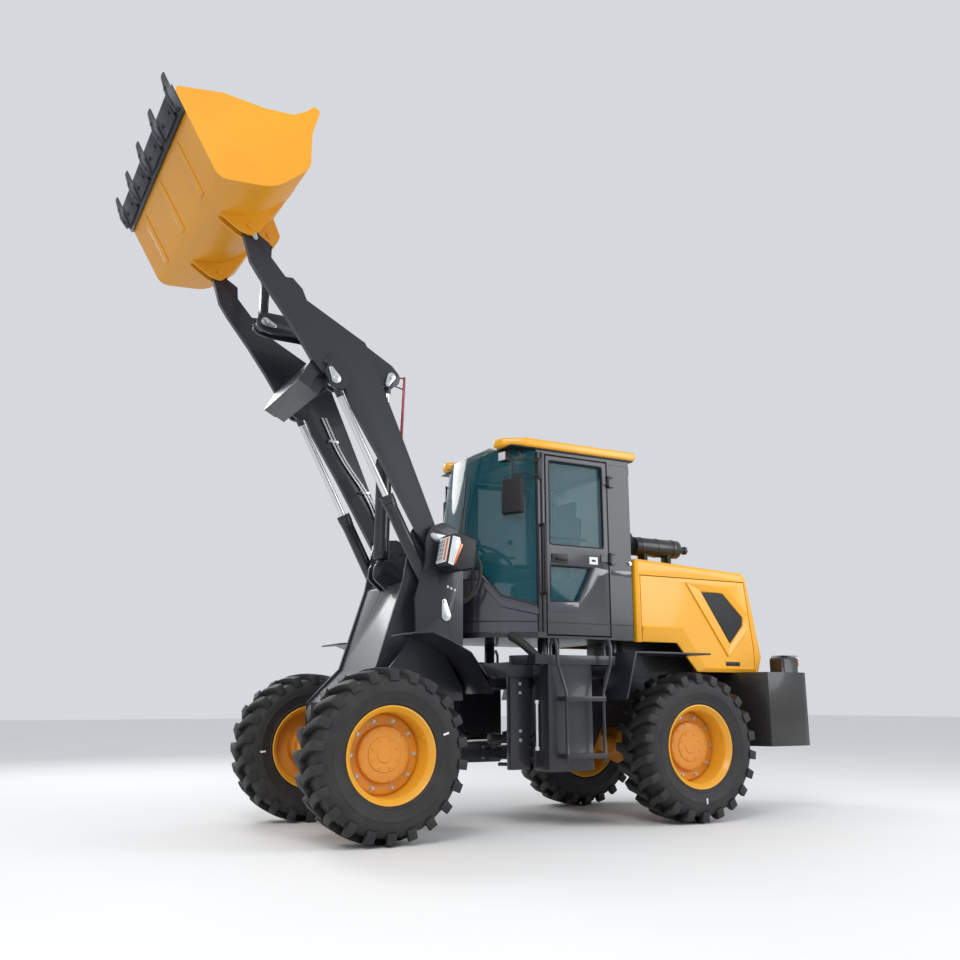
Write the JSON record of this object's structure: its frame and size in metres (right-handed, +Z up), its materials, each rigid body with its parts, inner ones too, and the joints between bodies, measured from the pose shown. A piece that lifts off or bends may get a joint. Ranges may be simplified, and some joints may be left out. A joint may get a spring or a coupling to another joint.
{
  "type": "wheel loader",
  "caption": "Articulated wheel loader with a raised Z-bar boom and bucket, glazed cab over the articulation, and a rear engine hood with a counterweight.",
  "frame": {"origin": "on the ground, under the centre of the whole machine's box with the boom raised", "axes": "+X forward, toward the bucket; +Y to the machine's left; +Z up"},
  "size_m": [5.9894, 2.046, 5.3],
  "materials": {
    "charcoal_paint": "satin",
    "cab_paint": "satin",
    "fairing_paint": "gloss",
    "body_yellow": "gloss",
    "bucket_yellow": "satin",
    "wheel_yellow": "satin",
    "axle_orange": "satin",
    "weight_black": "rough paint",
    "dark_steel": "satin",
    "chrome_rod": "polished",
    "dark_plastic": "satin",
    "tyre_rubber": "matte",
    "tinted_glass": "clear",
    "seat_fabric": "woven"
  },
  "bodies": {
    "chassis": {"rear_frame": "charcoal_paint", "rear_axle": "axle_orange", "counterweight": "weight_black", "engine_block": "dark_steel", "hood": "body_yellow", "muffler": "dark_steel", "air_cleaner": "dark_plastic", "cab_shell": "cab_paint", "cab_roof": "body_yellow", "windshield": "tinted_glass", "front_fairing": "fairing_paint", "rear_window": "tinted_glass", "dashboard": "dark_plastic", "steering_wheel": "dark_plastic", "seat_base": "dark_plastic", "seat_cushion": "seat_fabric", "seat_back": "seat_fabric", "mirror_left": "dark_plastic", "mirror_right": "dark_plastic", "fuel_tank": "charcoal_paint", "hydraulic_tank": "charcoal_paint", "rear_fender_left": "charcoal_paint", "rear_fender_right": "charcoal_paint"},
    "front_body": {"front_frame": "charcoal_paint", "front_axle": "axle_orange", "front_fender_left": "charcoal_paint", "front_fender_right": "charcoal_paint", "headlight_left": "dark_plastic", "headlight_right": "dark_plastic"},
    "boom_body": {"boom": "charcoal_paint"},
    "rocker_body": {"rocker": "charcoal_paint"},
    "bucket_body": {"bucket": "bucket_yellow", "cutting_edge": "dark_steel"},
    "link_body": {"bucket_link": "charcoal_paint"},
    "tilt_barrel_body": {"tilt_barrel": "dark_steel"},
    "tilt_rod_body": {"tilt_rod": "chrome_rod"},
    "lift_barrel_left_body": {"lift_barrel_left": "dark_steel"},
    "lift_rod_left_body": {"lift_rod_left": "chrome_rod"},
    "steer_barrel_left_body": {"steer_barrel_left": "dark_steel"},
    "steer_rod_left_body": {"steer_rod_left": "chrome_rod"},
    "door_left_body": {"cab_door_left": "cab_paint", "door_glass_left": "tinted_glass"},
    "hood_panel_left_body": {"hood_panel_left": "body_yellow"},
    "wheel_front_left_body": {"tyre_front_left": "tyre_rubber", "rim_front_left": "wheel_yellow"},
    "wheel_rear_left_body": {"tyre_rear_left": "tyre_rubber", "rim_rear_left": "wheel_yellow"},
    "lift_barrel_right_body": {"lift_barrel_right": "dark_steel"},
    "lift_rod_right_body": {"lift_rod_right": "chrome_rod"},
    "steer_barrel_right_body": {"steer_barrel_right": "dark_steel"},
    "steer_rod_right_body": {"steer_rod_right": "chrome_rod"},
    "door_right_body": {"cab_door_right": "cab_paint", "door_glass_right": "tinted_glass"},
    "hood_panel_right_body": {"hood_panel_right": "body_yellow"},
    "wheel_front_right_body": {"tyre_front_right": "tyre_rubber", "rim_front_right": "wheel_yellow"},
    "wheel_rear_right_body": {"tyre_rear_right": "tyre_rubber", "rim_rear_right": "wheel_yellow"}
  },
  "joints": [
    {"name": "steering", "type": "hinge", "parent": "chassis", "child": "front_body", "pos_m": [-0.20317, 0, 0.595], "axis": [0, 0, 1], "range_deg": [-35, 35]},
    {"name": "boom_lift", "type": "hinge", "parent": "front_body", "child": "boom_body", "pos_m": [0.56533, 0, 2.185], "axis": [0, -1, 0], "range_deg": [-97.14, 0]},
    {"name": "bucket_tilt", "type": "hinge", "parent": "boom_body", "child": "bucket_body", "pos_m": [2.18533, 0, 4.48], "axis": [0, 1, 0], "range_deg": [-76, 100]},
    {"name": "rocker_turn", "type": "hinge", "parent": "boom_body", "child": "rocker_body", "pos_m": [1.30533, 0, 3.85], "axis": [0, -1, 0], "range_deg": [-19, 25]},
    {"name": "link_turn", "type": "hinge", "parent": "bucket_body", "child": "link_body", "pos_m": [1.91333, 0, 4.672], "axis": [0, -1, 0], "range_deg": [-42.56, 56]},
    {"name": "tilt_barrel_turn", "type": "hinge", "parent": "front_body", "child": "tilt_barrel_body", "pos_m": [0.85433, 0, 1.981], "axis": [0, -1, 0], "range_deg": [-100.44, 0]},
    {"name": "tilt_rod_slide", "type": "slide", "parent": "tilt_barrel_body", "child": "tilt_rod_body", "axis": [-0.0188, 0, 0.9998], "range_m": [-0.37396, 0]},
    {"name": "lift_barrel_left_turn", "type": "hinge", "parent": "front_body", "child": "lift_barrel_left_body", "pos_m": [0.52933, 0.465, 1.599], "axis": [0, -1, 0], "range_deg": [-84.8, 0]},
    {"name": "lift_rod_left_slide", "type": "slide", "parent": "lift_barrel_left_body", "child": "lift_rod_left_body", "axis": [0.4695, 0, 0.8829], "range_m": [-0.81492, 0]},
    {"name": "lift_barrel_right_turn", "type": "hinge", "parent": "front_body", "child": "lift_barrel_right_body", "pos_m": [0.52933, -0.465, 1.599], "axis": [0, -1, 0], "range_deg": [-84.8, 0]},
    {"name": "lift_rod_right_slide", "type": "slide", "parent": "lift_barrel_right_body", "child": "lift_rod_right_body", "axis": [0.4695, 0, 0.8829], "range_m": [-0.81492, 0]},
    {"name": "steer_barrel_left_turn", "type": "hinge", "parent": "chassis", "child": "steer_barrel_left_body", "pos_m": [-0.46517, 0.24, 0.66], "axis": [0, 0, 1], "range_deg": [-23.66, 23.66]},
    {"name": "steer_rod_left_slide", "type": "slide", "parent": "steer_barrel_left_body", "child": "steer_rod_left_body", "axis": [-0.9997, -0.0263, 0], "range_m": [-0.14697, 0.14697]},
    {"name": "wheel_front_left_spin", "type": "hinge", "parent": "front_body", "child": "wheel_front_left_body", "pos_m": [1.15533, 0.818, 0.595], "axis": [0, 1, 0], "continuous": true},
    {"name": "wheel_rear_left_spin", "type": "hinge", "parent": "chassis", "child": "wheel_rear_left_body", "pos_m": [-1.56167, 0.818, 0.595], "axis": [0, 1, 0], "continuous": true},
    {"name": "door_left_swing", "type": "hinge", "parent": "chassis", "child": "door_left_body", "pos_m": [-0.97467, 0.648, 1.47], "axis": [0, 0, 1], "range_deg": [0, 95]},
    {"name": "hood_panel_left_lift", "type": "hinge", "parent": "chassis", "child": "hood_panel_left_body", "pos_m": [-1.24467, 0.62, 2.02], "axis": [1, 0, 0], "range_deg": [0, 75]},
    {"name": "steer_barrel_right_turn", "type": "hinge", "parent": "chassis", "child": "steer_barrel_right_body", "pos_m": [-0.46517, -0.24, 0.66], "axis": [0, 0, 1], "range_deg": [-23.66, 23.66]},
    {"name": "steer_rod_right_slide", "type": "slide", "parent": "steer_barrel_right_body", "child": "steer_rod_right_body", "axis": [0.9997, -0.0263, 0], "range_m": [-0.14697, 0.14697]},
    {"name": "wheel_front_right_spin", "type": "hinge", "parent": "front_body", "child": "wheel_front_right_body", "pos_m": [1.15533, -0.818, 0.595], "axis": [0, 1, 0], "continuous": true},
    {"name": "wheel_rear_right_spin", "type": "hinge", "parent": "chassis", "child": "wheel_rear_right_body", "pos_m": [-1.56167, -0.818, 0.595], "axis": [0, 1, 0], "continuous": true},
    {"name": "door_right_swing", "type": "hinge", "parent": "chassis", "child": "door_right_body", "pos_m": [-0.97467, -0.648, 1.47], "axis": [0, 0, -1], "range_deg": [0, 95]},
    {"name": "hood_panel_right_lift", "type": "hinge", "parent": "chassis", "child": "hood_panel_right_body", "pos_m": [-1.24467, -0.62, 2.02], "axis": [-1, 0, 0], "range_deg": [0, 75]}
  ],
  "couplings": [
    {"joint": "rocker_turn", "follows": "bucket_tilt", "ratio": 0.25},
    {"joint": "link_turn", "follows": "bucket_tilt", "ratio": 0.56},
    {"joint": "tilt_barrel_turn", "follows": "boom_lift", "ratio": 1.034},
    {"joint": "tilt_rod_slide", "follows": "boom_lift", "m_per_rad": 0.22057},
    {"joint": "lift_barrel_left_turn", "follows": "boom_lift", "ratio": 0.873},
    {"joint": "lift_rod_left_slide", "follows": "boom_lift", "m_per_rad": 0.48066},
    {"joint": "lift_barrel_right_turn", "follows": "boom_lift", "ratio": 0.873},
    {"joint": "lift_rod_right_slide", "follows": "boom_lift", "m_per_rad": 0.48066},
    {"joint": "steer_barrel_left_turn", "follows": "steering", "ratio": 0.676},
    {"joint": "steer_rod_left_slide", "follows": "steering", "m_per_rad": 0.2406},
    {"joint": "steer_barrel_right_turn", "follows": "steering", "ratio": 0.676},
    {"joint": "steer_rod_right_slide", "follows": "steering", "m_per_rad": 0.2406}
  ]
}
